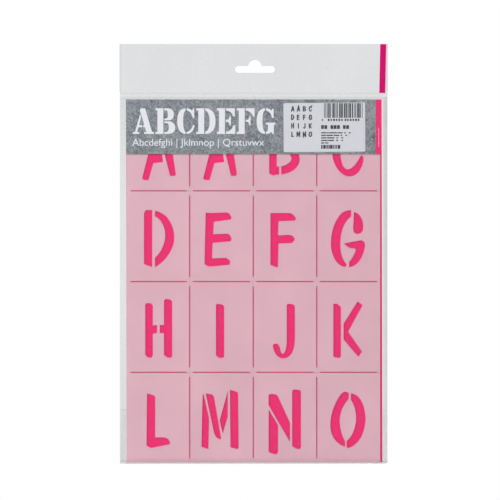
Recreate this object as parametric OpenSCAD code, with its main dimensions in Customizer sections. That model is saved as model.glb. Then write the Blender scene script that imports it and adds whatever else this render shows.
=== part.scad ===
// Lettering stencil in its hanging pack: sixteen letter plates joined at their corners,
// lying in a folded printed card, inside a clear bag with a hang slot and a closing flap.
// The pack hangs upright and faces -Y. The origin is the middle of the hang slot.

/* [Stencil sheet] */
// Width of one letter plate
plate_w = 52.5; // [46:0.5:60]
// Height of one letter plate
plate_h = 75; // [71:0.5:90]
// Thickness of the stencil film
stencil_t = 0.3; // [0.2:0.05:0.6]
// Width of the slits that part the plates
slit_w = 0.8; // [0.4:0.1:1.6]
// Film left uncut between the ends of two slits in one row
row_bridge = 5.2; // [3:0.1:10]
// Film left uncut between the ends of two slits in one column
column_bridge = 8; // [4:0.1:12]
// Film left uncut between the left edge of the sheet and the first slit of a row
edge_bridge = 3.6; // [2:0.1:6]

/* [Letters] */
// Height of a capital letter
letter_h = 47; // [34:0.5:49]
// Height of the letters' foot line over the lower edge of the plate
letter_base = 12; // [8:0.5:14]
// How far the second A stands left of the first one
second_a_shift = 2; // [0:0.5:4]
// Outer radius of the ring over the second A
ring_r = 3.2; // [2.4:0.1:3.8]
// Width of the line that makes that ring
ring_line = 1.8; // [1:0.1:2.2]
// Width of the two bridges that hold the middle of the ring
ring_bridge = 1.2; // [0.8:0.1:2]

/* [Printed card] */
// Thickness of the card
card_t = 0.35; // [0.2:0.05:0.6]
// How much wider the card is than the stencil sheet
card_extra = 1.4; // [0.6:0.1:4]
// How far the sheet stands out past the left edge of the card
sheet_lead = 0.4; // [0:0.1:1]
// How much higher the lower edge of the card lies than that of the sheet
card_short = 0.8; // [0.2:0.1:5]
// Height of the card's front panel, from its fold to its free edge
label_h = 45.2; // [30:0.1:70]

/* [Sticker] */
// Width of the sticker
sticker_w = 67.5; // [40:0.5:90]
// Height of the sticker
sticker_h = 40.5; // [20:0.5:42]
// Thickness of the sticker
sticker_t = 0.1; // [0.05:0.01:0.2]
// Radius of the corners of the sticker
sticker_corner = 0.8; // [0.3:0.1:3]
// Distance from the right edge of the sticker to the right edge of the card
sticker_inset = 14.2; // [5:0.1:40]
// How far the middle of the sticker lies below the middle of the front panel
sticker_drop = 0.6; // [-1:0.1:1]
// Turn of the sticker, in degrees
sticker_tilt = 0.4; // [-1:0.1:1]

/* [Bag] */
// Thickness of the bag film
film_t = 0.1; // [0.05:0.01:0.2]
// Free film left of the stencil sheet
margin_left = 5.2; // [4:0.1:15]
// Free film right of the card
margin_right = 4.2; // [3.5:0.1:15]
// Width of the side welds
weld_w = 1; // [0.6:0.1:2]
// Radius of the bead that runs along the outer edge of a side weld
bead_r = 0.15; // [0.12:0.01:0.3]
// Free room between two layers inside the bag
slip = 0.15; // [0.1:0.01:0.4]
// Distance from the contents to the line where the film bends towards a weld
shoulder_gap = 0.6; // [0.3:0.1:1.5]
// Height over which the film closes from the contents to the seal
closing_h = 1.8; // [1:0.1:6]
// Distance from the seal down to the fold of the card
card_drop = 1.9; // [1.9:0.1:8]
// Free room between the lower edge of the sheet and the fold of the bag
foot_gap = 0.5; // [0.2:0.1:3]

/* [Header and hang slot] */
// Height of the header over the seal
header_h = 39.6; // [30:0.1:60]
// How far the header stands out past the bag on each side
header_over = 0.4; // [0:0.1:2]
// Height of the heat seal band
seal_h = 4.2; // [2:0.1:10]
// Thickness of the film between the ribs of the seal band
seal_t = 0.16; // [0.1:0.01:0.19]
// Number of ribs across the seal band
seal_ribs = 3; // [2:1:5]
// Height of one rib of the seal band
rib_h = 0.4; // [0.2:0.1:0.5]
// Distance from the top edge down to the middle of the hang slot
slot_drop = 21; // [14:0.1:24]
// How far the slot lies right of the middle of the bag
slot_shift = 1; // [0:0.1:4]
// Length of the hang slot
slot_w = 32.9; // [24:0.1:40]
// Height of the straight part of the hang slot
slot_h = 5.6; // [5:0.1:8]
// Radius of the dome over the slot
dome_r = 5.5; // [4.5:0.1:8]
// Height of the middle of the dome over the middle of the slot
dome_rise = 2.3; // [1:0.1:3]
// Radius of the small fillets where the dome meets the slot
dome_fillet = 0.8; // [0.4:0.1:1.5]

/* [Closure flap] */
// Height of the flap, from the bottom fold to its free edge
flap_h = 45.2; // [30:0.1:80]
// Height of the creased film that goes up behind the bottom fold
crease_h = 1.5; // [1.3:0.1:3]
// Radius of the flap's free corners
flap_corner = 3; // [1:0.5:10]
// Width of the adhesive strip
adhesive_h = 12; // [5:0.5:20]
// Thickness of the adhesive strip
adhesive_t = 0.05; // [0.03:0.01:0.1]
// Free room between the adhesive strip and the bag behind it
adhesive_gap = 0.05; // [0.03:0.01:0.1]
// Distance from the free edge of the flap to the adhesive strip
adhesive_edge = 5; // [3.5:0.5:12]
// Distance from the side edges of the flap to the ends of the adhesive strip
adhesive_side = 2; // [0.5:0.5:20]

/* [Hidden] */

$fn = 64;
columns = 4;
rows = 4;
// Height at which the letter outlines below are drawn
drawn_h = 47;
// Straight pieces that stand for one curved stretch of a letter
curve_steps = 6;
// Overlap of cutting shapes past the faces that they cut
past = 1;

// Depths of the layers, from the front (-Y) to the back
card_front_y = -stencil_t / 2 - slip - card_t;
card_back_y = stencil_t / 2 + slip + card_t;
sticker_front_y = card_front_y - sticker_t;
front_depth = -sticker_front_y + slip + film_t;
back_depth = card_back_y + slip + film_t;
flap_front_y = back_depth + adhesive_gap + adhesive_t;
flap_back_y = flap_front_y + film_t;
// The flap turns about the middle of the bottom fold
fold_y = (flap_back_y - front_depth) / 2;
fold_r = (flap_back_y + front_depth) / 2;

// Widths
sheet_w = columns * plate_w;
card_w = sheet_w + card_extra;
bag_w = margin_left + sheet_lead + card_w + margin_right;
bag_left = -slot_shift - bag_w / 2;
bag_right = bag_left + bag_w;
sheet_left = bag_left + margin_left;
card_left = sheet_left + sheet_lead;
card_right = card_left + card_w;
weld_left = bag_left + weld_w;
weld_right = bag_right - weld_w;
flat_left = sheet_left - shoulder_gap;
flat_right = card_right + shoulder_gap;

// Heights
header_top = slot_drop;
seal_top = header_top - header_h;
seal_bottom = seal_top - seal_h;
card_fold_r = card_back_y;
card_fold_z = seal_bottom - card_drop - card_fold_r;
sheet_top = card_fold_z - slip / 3;
sheet_bottom = sheet_top - rows * plate_h;
card_bottom = sheet_bottom + card_short;
label_bottom = card_fold_z + card_fold_r - label_h;
mouth_z = sheet_bottom - foot_gap + fold_r - film_t;
back_lip_z = mouth_z + film_t;
flap_bottom = mouth_z + crease_h;
flap_top = mouth_z - fold_r + flap_h;

// Points of one outline. An entry [x, y] is a corner, and an entry [a, b, x, y] is a curve
// that bends towards [a, b] and ends at [x, y].
function end_of(entry) = len(entry) == 4 ? [entry[2], entry[3]] : entry;
function bend(p, c, q) = [
    for (i = [1:curve_steps])
        let (t = i / curve_steps)
            (1 - t) * (1 - t) * p + 2 * t * (1 - t) * c + t * t * q
];
function outline(path) = [
    for (i = [0:len(path) - 1])
        let (start = end_of(path[(i + len(path) - 1) % len(path)]))
            each len(path[i]) == 4
                ? bend(start, [path[i][0], path[i][1]], end_of(path[i]))
                : [path[i]]
];

// The cut-outs of each letter, with x from the middle line of its plate and y from the foot
// line, in millimetres at the drawn height
A_CUTS = [
    [[-9.5, -3], [-12, -2.8, -12.5, -1.5], [-7.5, 18.5], [-2, 40.5], [0.8, 30], [-1.5, 19],
     [3.5, 19], [4.5, 12], [-3.5, 11], [-7.5, -3]],
    [[10.5, 0.5], [13.5, 0.5], [15, 0.5, 15, 2], [12.5, 18.5], [6.8, 44.5], [5, 46.5, 0.5, 46],
     [-0.8, 45.5], [6, 18.5]],
];
B_CUTS = [
    [[-12.5, 2.5], [-9, 0.5], [-7.5, 1.5], [-4.5, 1.5], [-4.5, 8], [-6.5, 8], [-6.5, 39],
     [-4.5, 39], [-4.5, 45.5], [-9, 46.5], [-12.5, 44.5]],
    [[-2.5, 1.5], [11, 4, 12.5, 13], [12.5, 21, 6.5, 24.5], [10.5, 29, 9.5, 36],
     [8, 44, -2.5, 45.5], [-2.5, 39], [3.5, 38.5, 3.5, 34], [3.5, 28, -2.5, 27.5],
     [-2.5, 21.5], [4, 21, 6, 15], [6, 10.5, -2.5, 8]],
];
C_CUTS = [
    [[11, 17.5], [13.5, 16, 12.5, 12], [9.5, 0, 1, 0], [-3.5, 0, -8, 5.5], [-13, 12, -13, 22],
     [-12, 44, 2.5, 46.5], [2.5, 40.5], [-6.5, 36, -6.5, 18.5], [-5.5, 6.5, -0.5, 5.5],
     [5, 5.5, 11, 17.5]],
    [[5, 45.5], [11, 43.5, 12, 36], [12, 30.5, 8, 30.5], [4.5, 30.5, 4.5, 35]],
    [[7.5, 47.5], [9.5, 45.5, 12, 47.5], [17, 51], [18.5, 53, 16.5, 54.5], [15, 55, 13, 53.5]],
];
D_CUTS = [
    [[-11, 2.5], [-4.5, 0], [-4.5, 47], [-9.5, 47], [-11, 44.5]],
    [[-2, 0], [9, 6.5, 13, 18.5], [15.5, 30, 9, 39.5], [5, 45, -2, 46.5], [-2, 42],
     [3, 40, 5.5, 33], [8, 26, 5, 18], [3, 12, -2, 7.5]],
];
E_CUTS = [
    [[-12.5, 45], [-9, 44.5], [4.5, 45], [7, 45, 8.5, 41], [8, 39.5], [-6, 37.5], [-6.5, 27],
     [5, 27.5], [7.5, 27, 8.5, 23.5], [8, 21.5], [-7, 20], [-7.5, 7], [4.5, 7.5], [7.5, 5],
     [7, 2], [-10, 0.5], [-13.5, 2.5]],
];
F_CUTS = [
    [[-11.5, 44.5], [4, 44.5], [7, 44.5, 9.5, 40], [8.5, 38.5], [-5, 38], [-5.5, 26],
     [4, 26.5], [7.5, 26, 8.5, 22.5], [6, 20], [-5, 19.5], [-5.5, 0], [-7, 0], [-11.5, 2]],
];
G_CUTS = [
    [[2.5, 47], [2.5, 42], [-6.5, 35, -6.5, 19], [-6.5, 8, -1.5, 2.5], [-1.5, 0.5],
     [-5, -0.5, -9.5, 4.5], [-14, 11, -14, 20], [-13.5, 35, -6, 43.5], [-3.5, 46.5, 2.5, 47]],
    [[5, 45.5], [11.5, 43.5, 12.5, 35], [13, 27.5, 8, 27.5], [4, 27.5, 4.5, 33]],
    [[-3, 19.5], [10.5, 22], [14.5, 21.5, 14, 17], [11, 1.5, 1, 0], [1, 4], [4.5, 8, 6.5, 13.5],
     [6, 15.5], [0.5, 15, -3, 19.5]],
];
H_CUTS = [
    [[-10, 2.5], [-8, 0.5], [-5, 0], [-4, 2], [-4, 20], [-0.5, 20.5], [-0.5, 27], [-4, 26.5],
     [-4, 43.5], [-6, 45], [-9, 45], [-10, 44]],
    [[5.5, 2.5], [8, 0.5], [11, 0], [12, 1.5], [12, 46.5], [10.5, 48], [7.5, 48.5], [5.5, 47.5],
     [5.5, 27], [2, 27], [2, 20.5], [5.5, 20.5]],
];
I_CUTS = [
    [[-4, 2], [-1.5, 0], [1.5, 0], [2.5, 1], [2.5, 42.5], [0.5, 44], [-3, 44.5], [-4, 43.5]],
];
J_CUTS = [
    [[2, 43.5], [3, 44.5], [7, 44], [8.5, 42.5], [8.5, 15], [8, 0, -1, -0.5],
     [-8, 0, -9.5, 10], [-8.5, 11.5], [-6.5, 11.5], [-4, 10.5, -3.5, 6], [-2.5, 2, -0.5, 3.5],
     [2, 6, 2, 15]],
];
K_CUTS = [
    [[-12, 1.5], [-11, 0.5], [-7, 0], [-6, 1], [-6, 42], [-9, 44.5], [-12, 44.5]],
    [[8, 46.5], [12, 43.5], [0, 21.5], [11.5, 5], [8.5, 1], [-2.5, 14], [-3.5, 15], [-3.5, 28]],
];
L_CUTS = [
    [[-9, 2.5], [-5.5, 0.5], [9.5, 3.5], [10.5, 4.5], [9, 9, 5, 9], [-2, 9], [-2, 42],
     [-2.5, 43.5], [-8.5, 45.5]],
];
M_CUTS = [
    [[-16, 1.5], [-10.5, -0.5], [-10, 25], [-14.5, 44.5], [-15, 45], [-15.5, 26.5]],
    [[-12.5, 45.5], [-7.5, 44.5], [-6, 43], [0, 8.5], [-0.5, 7.5], [-4, 9.5], [-5.5, 12.5]],
    [[5.5, 47], [5.5, 26.5], [1.5, 12.5], [-1, 23]],
    [[8, 1], [13.5, -0.5], [14.5, 0.5], [14, 45], [13.5, 46.5], [7.5, 48.5]],
];
N_CUTS = [
    [[-13, 44], [-11.5, 45], [-7, 44.5], [-5.5, 43], [4.5, 21], [4.5, 5.5], [-13, 36]],
    [[-13, 32], [-5.5, 19.5], [-5.5, -3], [-7, -5], [-11.5, -3.5], [-13, -2.5]],
    [[6.5, 2], [9.5, 0], [12.5, -0.5], [13.5, 1], [13.5, 47.5], [11.5, 48.5], [7.5, 48.5],
     [6.5, 47.5]],
];
O_CUTS = [
    [[-3, 47], [0.5, 46], [0.5, 41], [-7, 33, -7, 22], [-6.5, 12, -2.5, 6], [-2.5, 1.5],
     [-14.5, 6, -14.5, 20], [-14, 33, -6, 44.5]],
    [[2.5, 45.5], [12.5, 44.5, 14.5, 26], [14, 6, 1, 0.5], [-1, 1], [-1, 6], [5.5, 11, 7, 24],
     [7, 34, 2.5, 40.5]],
];

// Lays a flat shape drawn in X and Z into the pack, from depth y and t thick
module layer(y, t) {
    translate([0, y + t, 0])
        rotate([90, 0, 0])
            linear_extrude(t)
                children();
}

// Draws a section given in Y and Z along X, from x and w wide
module along_x(x, w) {
    translate([x, 0, 0])
        rotate([90, 0, 90])
            linear_extrude(w)
                children();
}

// A rectangle between two corners
module area(x0, z0, x1, z1) {
    translate([x0, z0])
        square([x1 - x0, z1 - z0]);
}

// One plate of the sheet with its half of each slit around it, drawn from its lower left corner
module plate_outline(column, row) {
    half = slit_w / 2;
    slit_start = column == 0 ? edge_bridge : row_bridge / 2;
    slit_end = plate_w - row_bridge / 2;
    difference() {
        square([plate_w, plate_h]);
        if (column > 0)
            area(-past, column_bridge / 2, half, plate_h - column_bridge / 2);
        if (column < columns - 1)
            area(plate_w - half, column_bridge / 2, plate_w + past, plate_h - column_bridge / 2);
        if (row > 0)
            area(slit_start, plate_h - half, slit_end, plate_h + past);
        if (row < rows - 1)
            area(slit_start, -past, slit_end, half);
    }
}

// All cut-outs of one letter, on the foot line of its plate
module letter(cuts, shift = 0) {
    translate([plate_w / 2 - shift, letter_base])
        scale([letter_h / drawn_h, letter_h / drawn_h])
            for (path = cuts)
                polygon(outline(path));
}

// The ring over the second A, held by two bridges
module ring_mark() {
    apex_x = 3;
    apex_h = 46.3;
    ring_lift = 1.6;
    translate([
        plate_w / 2 - second_a_shift + apex_x * letter_h / drawn_h,
        letter_base + apex_h * letter_h / drawn_h + ring_lift + ring_r
    ])
        difference() {
            circle(ring_r);
            circle(ring_r - ring_line);
            square([ring_bridge, 2 * ring_r + past], center = true);
        }
}

// A plate at its place in the sheet, less the cut-outs given as children
module plate(column, row) {
    color([0.87, 0.72, 0.76])
        layer(-stencil_t / 2, stencil_t)
            translate([sheet_left + column * plate_w, sheet_bottom + (rows - 1 - row) * plate_h])
                difference() {
                    plate_outline(column, row);
                    children();
                }
}

module stencil_plate_a() {
    plate(0, 0) letter(A_CUTS);
}

module stencil_plate_a_ring() {
    plate(1, 0) {
        letter(A_CUTS, second_a_shift);
        ring_mark();
    }
}

module stencil_plate_b() {
    plate(2, 0) letter(B_CUTS);
}

module stencil_plate_c() {
    plate(3, 0) letter(C_CUTS);
}

module stencil_plate_d() {
    plate(0, 1) letter(D_CUTS);
}

module stencil_plate_e() {
    plate(1, 1) letter(E_CUTS);
}

module stencil_plate_f() {
    plate(2, 1) letter(F_CUTS);
}

module stencil_plate_g() {
    plate(3, 1) letter(G_CUTS);
}

module stencil_plate_h() {
    plate(0, 2) letter(H_CUTS);
}

module stencil_plate_i() {
    plate(1, 2) letter(I_CUTS);
}

module stencil_plate_j() {
    plate(2, 2) letter(J_CUTS);
}

module stencil_plate_k() {
    plate(3, 2) letter(K_CUTS);
}

module stencil_plate_l() {
    plate(0, 3) letter(L_CUTS);
}

module stencil_plate_m() {
    plate(1, 3) letter(M_CUTS);
}

module stencil_plate_n() {
    plate(2, 3) letter(N_CUTS);
}

module stencil_plate_o() {
    plate(3, 3) letter(O_CUTS);
}

// The printed card: a back panel, a fold over the top of the sheet, and a front panel
module insert_card() {
    color([0.86, 0.2, 0.42])
        along_x(card_left, card_w) {
            area(card_back_y - card_t, card_bottom, card_back_y, card_fold_z);
            area(card_front_y, label_bottom, card_front_y + card_t, card_fold_z);
            translate([0, card_fold_z])
                difference() {
                    circle(card_fold_r);
                    circle(card_fold_r - card_t);
                    translate([-2 * card_fold_r, -4 * card_fold_r])
                        square(4 * card_fold_r);
                }
        }
}

// A rectangle with round corners about the origin
module rounded(w, h, r) {
    square([w - 2 * r, h], center = true);
    square([w, h - 2 * r], center = true);
    for (x = [-1, 1], z = [-1, 1])
        translate([x * (w / 2 - r), z * (h / 2 - r)])
            circle(r);
}

module label_sticker() {
    middle_z = (card_fold_z + card_fold_r + label_bottom) / 2 - sticker_drop;
    color([0.9, 0.9, 0.92])
        layer(sticker_front_y, sticker_t)
            translate([card_right - sticker_inset - sticker_w / 2, middle_z])
                rotate(sticker_tilt)
                    rounded(sticker_w, sticker_h, sticker_corner);
}

// The space from the middle plane out to a pocket film: flat over the contents, and closing
// towards the side welds and the seal. It reaches depth edge_y at its rim and flat_y inside,
// and goes back past the middle plane to back_y.
module pocket_space(edge_y, flat_y, back_y, low_z) {
    intersection() {
        translate([0, 0, low_z])
            linear_extrude(seal_bottom - low_z)
                polygon([
                    [weld_left, back_y], [weld_left, edge_y], [flat_left, flat_y],
                    [flat_right, flat_y], [weld_right, edge_y], [weld_right, back_y]
                ]);
        along_x(weld_left, weld_right - weld_left)
            polygon([
                [back_y, low_z], [flat_y, low_z], [flat_y, seal_bottom - closing_h],
                [edge_y, seal_bottom], [back_y, seal_bottom]
            ]);
    }
}

// One film of the pocket, bulging by depth towards the side given by facing, open at low_z
module pocket_film(depth, facing, low_z) {
    color([0.86, 0.88, 0.89, 0.5])
        difference() {
            pocket_space(facing * film_t, facing * depth, 0, low_z);
            pocket_space(0, facing * (depth - film_t), -facing * past, low_z - past);
        }
}

module bag_front_film() {
    pocket_film(front_depth, -1, mouth_z);
}

module bag_back_film() {
    pocket_film(back_depth, 1, back_lip_z);
}

// The fused edges of the two films, with a melted bead along the outside
module side_welds() {
    strip = [weld_w - bead_r, 2 * film_t];
    color([0.78, 0.8, 0.81, 0.6])
        translate([0, 0, mouth_z])
            linear_extrude(seal_bottom - mouth_z) {
                translate([bag_left + bead_r, -film_t])
                    square(strip);
                translate([weld_right, -film_t])
                    square(strip);
                for (x = [bag_left + bead_r, bag_right - bead_r])
                    translate([x, 0])
                        circle(bead_r);
            }
}

// The heat seal that closes the pocket under the header
module header_seal() {
    rib_pitch = seal_h / seal_ribs;
    color([0.8, 0.82, 0.83, 0.6]) {
        layer(-seal_t / 2, seal_t)
            area(bag_left, seal_bottom, bag_right, seal_top);
        for (i = [0:seal_ribs - 1])
            layer(-film_t, 2 * film_t)
                translate([bag_left, seal_bottom + (i + 0.5) * rib_pitch - rib_h / 2])
                    square([bag_w, rib_h]);
    }
}

// The hang slot: a long slot with round ends and a dome over its middle
module hang_slot() {
    end_r = slot_h / 2;
    foot_z = end_r + dome_fillet;
    foot_x = sqrt(pow(dome_r + dome_fillet, 2) - pow(foot_z - dome_rise, 2));
    square([slot_w - slot_h, slot_h], center = true);
    for (x = [-1, 1])
        translate([x * (slot_w / 2 - end_r), 0])
            circle(end_r);
    difference() {
        translate([0, dome_rise])
            circle(dome_r);
        translate([-slot_w / 2, -slot_w])
            square(slot_w);
    }
    for (side = [-1, 1])
        difference() {
            polygon([[0, dome_rise], [side * foot_x, foot_z], [side * foot_x, 0], [0, 0]]);
            translate([side * foot_x, foot_z])
                circle(dome_fillet);
        }
}

// The header: both films fused flat, with the hang slot through them
module hang_header() {
    color([0.86, 0.88, 0.89, 0.5])
        layer(-film_t, 2 * film_t)
            difference() {
                area(bag_left - header_over, seal_top, bag_right + header_over, header_top);
                hang_slot();
            }
}

// The front film's way round the foot of the pack, up to where the flap begins
module bag_bottom_fold() {
    color([0.86, 0.88, 0.89, 0.5])
        along_x(bag_left, bag_w) {
            translate([fold_y, mouth_z])
                difference() {
                    circle(fold_r);
                    circle(fold_r - film_t);
                    translate([-2 * fold_r, 0])
                        square(4 * fold_r);
                }
            area(flap_front_y, mouth_z, flap_back_y, flap_bottom);
        }
}

// The closure flap lies behind the bag, with its free edge up
module closure_flap() {
    color([0.86, 0.88, 0.89, 0.5])
        layer(flap_front_y, film_t) {
            area(bag_left, flap_bottom, bag_right, flap_top - flap_corner);
            area(bag_left + flap_corner, flap_bottom, bag_right - flap_corner, flap_top);
            for (x = [bag_left + flap_corner, bag_right - flap_corner])
                translate([x, flap_top - flap_corner])
                    circle(flap_corner);
        }
}

module adhesive_strip() {
    strip_top = flap_top - adhesive_edge;
    color([0.9, 0.9, 0.86, 0.6])
        layer(flap_front_y - adhesive_t, adhesive_t)
            area(
                bag_left + adhesive_side, strip_top - adhesive_h,
                bag_right - adhesive_side, strip_top
            );
}

stencil_plate_a();
stencil_plate_a_ring();
stencil_plate_b();
stencil_plate_c();
stencil_plate_d();
stencil_plate_e();
stencil_plate_f();
stencil_plate_g();
stencil_plate_h();
stencil_plate_i();
stencil_plate_j();
stencil_plate_k();
stencil_plate_l();
stencil_plate_m();
stencil_plate_n();
stencil_plate_o();
insert_card();
label_sticker();
bag_front_film();
bag_back_film();
side_welds();
header_seal();
hang_header();
bag_bottom_fold();
closure_flap();
adhesive_strip();
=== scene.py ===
import math

import bmesh
import bpy
from bpy.props import FloatProperty, FloatVectorProperty, IntProperty, PointerProperty
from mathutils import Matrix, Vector, noise


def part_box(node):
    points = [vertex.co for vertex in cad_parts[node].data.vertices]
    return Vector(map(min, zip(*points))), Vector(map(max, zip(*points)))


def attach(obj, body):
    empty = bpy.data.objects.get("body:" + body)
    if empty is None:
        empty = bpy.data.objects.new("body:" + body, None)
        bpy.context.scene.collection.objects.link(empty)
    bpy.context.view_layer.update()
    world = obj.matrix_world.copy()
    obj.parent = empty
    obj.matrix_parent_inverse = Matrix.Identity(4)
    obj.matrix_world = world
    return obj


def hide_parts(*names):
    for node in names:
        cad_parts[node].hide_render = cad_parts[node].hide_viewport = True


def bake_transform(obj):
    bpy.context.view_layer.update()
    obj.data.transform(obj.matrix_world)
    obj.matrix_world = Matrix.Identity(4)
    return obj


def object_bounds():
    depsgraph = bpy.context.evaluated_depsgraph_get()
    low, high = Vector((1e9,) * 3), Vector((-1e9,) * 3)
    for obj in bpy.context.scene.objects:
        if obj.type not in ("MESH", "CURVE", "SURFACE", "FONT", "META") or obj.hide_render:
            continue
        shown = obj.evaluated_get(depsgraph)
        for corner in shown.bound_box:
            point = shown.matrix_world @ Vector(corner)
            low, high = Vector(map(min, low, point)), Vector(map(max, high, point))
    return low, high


bl_info = {
    "name": "Lettering stencil pack",
    "version": (1, 0, 0),
    "blender": (4, 5, 0),
    "location": "3D View > Sidebar > Stencil",
    "description": "Dresses a pack of stencil letters: plates, printed card, sticker and bag",
    "category": "Object",
}

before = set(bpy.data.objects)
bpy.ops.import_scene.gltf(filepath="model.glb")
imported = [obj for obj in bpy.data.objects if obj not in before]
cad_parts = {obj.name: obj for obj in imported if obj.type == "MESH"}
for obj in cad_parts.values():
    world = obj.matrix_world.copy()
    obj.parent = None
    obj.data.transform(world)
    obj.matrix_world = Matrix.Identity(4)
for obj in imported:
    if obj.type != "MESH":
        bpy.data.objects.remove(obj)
cad_low, cad_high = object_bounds()

MM = 0.001
PLATES = [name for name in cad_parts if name.startswith("stencil_plate")]

# Boxes of the CAD nodes that the new pieces are placed by
CARD_LOW, CARD_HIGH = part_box("insert_card")
STICKER_LOW, STICKER_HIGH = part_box("label_sticker")
FRONT_LOW, FRONT_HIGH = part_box("bag_front_film")
WELD_LOW, WELD_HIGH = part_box("side_welds")
SEAL_LOW, SEAL_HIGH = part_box("header_seal")
HEADER_LOW, HEADER_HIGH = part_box("hang_header")
FOLD_LOW, FOLD_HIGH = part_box("bag_bottom_fold")
FLAP_LOW, FLAP_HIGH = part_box("closure_flap")
STRIP_LOW, STRIP_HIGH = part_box("adhesive_strip")
SHEET_LOW = Vector(map(min, *(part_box(name)[0] for name in PLATES)))
SHEET_HIGH = Vector(map(max, *(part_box(name)[1] for name in PLATES)))

# Free room that the film closes over beside the contents, and the height it closes over
SHOULDER_GAP = 0.6 * MM
CLOSING_H = 1.8 * MM
# The film mirrors as little as a skin of this index, on its inner faces too
FILM_IOR = 1.2
# Thickness of the card and of the print on each side, and how far the stone goes over the fold
CARD_T = 0.35 * MM
PRINT_T = 0.03 * MM
STONE_OVER = 5 * MM
# Painted shade at the bag's folded foot over the card: the share one film face darkens, and its
# height
FOOT_PAINTED_SHADE = 0.05
FOOT_PAINTED_SHADE_H = 4.5 * MM
# Share that a mark pressed across the film holds back, to this far from its line and then less
MARK_SHADE = 0.05
MARK_CORE = 0.2 * MM
MARK_REACH = 0.8 * MM
# How soft the line is between the film's margins and its part over the card
MARGIN_SOFT = 0.4 * MM
# How far the back film's shade reaches up from its foot, and down from the fold of the card
FOOT_SHADE_H = 110 * MM
TOP_SHADE_H = 85 * MM
# Cells of the pocket films across and up, the rim of them that lies still, and how soon they
# ripple over the flap
POCKET_CELLS = (110, 150)
CALM_RIM = 18 * MM
CALM_OVER_FLAP = 15 * MM
# The outer rim of the welds, and how far it wanders
WELD_RIM = 1 * MM
WELD_WANDER = 0.07 * MM
# Height of the header's waves, and how soon they start over the seal
HEADER_WAVE = 0.45 * MM
CALM_OVER_SEAL = 22 * MM
# Height of the flap's ripples, the rim beside them that lies still, and how far the flap's free
# edge lifts
FLAP_RIPPLE = 0.3 * MM
FLAP_RIM = 8 * MM
FLAP_LIFT = 0.5 * MM
# Depth of the tool that cuts the hang slot
CUTTER_D = 10 * MM
# Height that printed ink stands out
INK_T = 0.02 * MM
# Nearest to a plate's edge that its letter comes
BORDER = 2 * MM
# Vertices closer than this are one vertex
MERGE = 0.001 * MM
# Straight pieces that stand for one curved stretch of a printed glyph
CURVE_STEPS = 7


class SheetSettings(bpy.types.PropertyGroup):
    """Looks of the stencil sheet."""

    colour: FloatVectorProperty(
        name="Sheet colour", description="Colour of the frosted film",
        default=(0.905, 0.735, 0.825), size=3, min=0, max=1, subtype="COLOR")
    cover: FloatProperty(
        name="Cover", description="How much one face of the film hides of what is behind it",
        default=0.42, min=0, max=1, subtype="FACTOR")
    # The edge colour is painted shade: the dark magenta of the card in shade beside the cut edges
    edge: FloatVectorProperty(
        name="Edge", description="Colour of the cut edges, with some of the card's colour in it",
        default=(0.4, 0.17, 0.25), size=3, min=0, max=1, subtype="COLOR")
    grain: FloatProperty(
        name="Grain", description="Size of the frosted grain",
        default=0.0006, min=0.0001, max=0.005, unit="LENGTH", precision=5)
    nudge: FloatProperty(
        name="Nudge", description="How far the letters lie left of the drawing's letters",
        default=0.0004, min=0, max=0.001, unit="LENGTH", precision=5)
    spread: FloatProperty(
        name="Spread", description="How far the cut edges of the letters lie outside the drawing's",
        default=0.00015, min=0, max=0.0003, unit="LENGTH", precision=5)


class CardSettings(bpy.types.PropertyGroup):
    """Looks and print of the folded card."""

    magenta: FloatVectorProperty(
        name="Magenta", description="Colour printed on the inside and on the band",
        default=(0.8, 0.008, 0.15), size=3, min=0, max=1, subtype="COLOR")
    stone_dark: FloatVectorProperty(
        name="Stone, dark", description="Dark colour of the printed stone",
        default=(0.085, 0.1, 0.12), size=3, min=0, max=1, subtype="COLOR")
    stone_light: FloatVectorProperty(
        name="Stone, light", description="Light colour of the printed stone",
        default=(0.325, 0.35, 0.39), size=3, min=0, max=1, subtype="COLOR")
    back: FloatVectorProperty(
        name="Back", description="Colour of the card's back",
        default=(0.76, 0.76, 0.74), size=3, min=0, max=1, subtype="COLOR")
    ink: FloatVectorProperty(
        name="Title ink", description="Colour of the title's print",
        default=(0.79, 0.795, 0.83), size=3, min=0, max=1, subtype="COLOR")
    lean: FloatProperty(
        name="Lean", description="How far the card's top corners lie left of its foot's",
        default=0.0006, min=0, max=0.001, unit="LENGTH", precision=5)
    band_w: FloatProperty(
        name="Band width", description="Width of the magenta band at the right end of the panel",
        default=0.0049, min=0, max=0.02, unit="LENGTH", precision=4)
    title_inset: FloatProperty(
        name="Title inset", description="Distance from the card's left edge to the title",
        default=0.0046, min=0, max=0.05, unit="LENGTH", precision=4)
    title_drop: FloatProperty(
        name="Title drop", description="Distance from the fold down to the top of the title",
        default=0.0074, min=0, max=0.04, unit="LENGTH", precision=4)
    title_w: FloatProperty(
        name="Title width", description="Width of the row of large characters",
        default=0.1183, min=0.05, max=0.15, unit="LENGTH", precision=4)
    title_h: FloatProperty(
        name="Title height", description="Height of the large characters",
        default=0.0213, min=0.005, max=0.03, unit="LENGTH", precision=4)
    line_w: FloatProperty(
        name="Second line width", description="Width of the row of small characters",
        default=0.109, min=0.05, max=0.15, unit="LENGTH", precision=4)
    line_drop: FloatProperty(
        name="Second line drop",
        description="Distance from the title's foot to the small ones' foot",
        default=0.0097, min=0.004, max=0.02, unit="LENGTH", precision=4)


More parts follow.
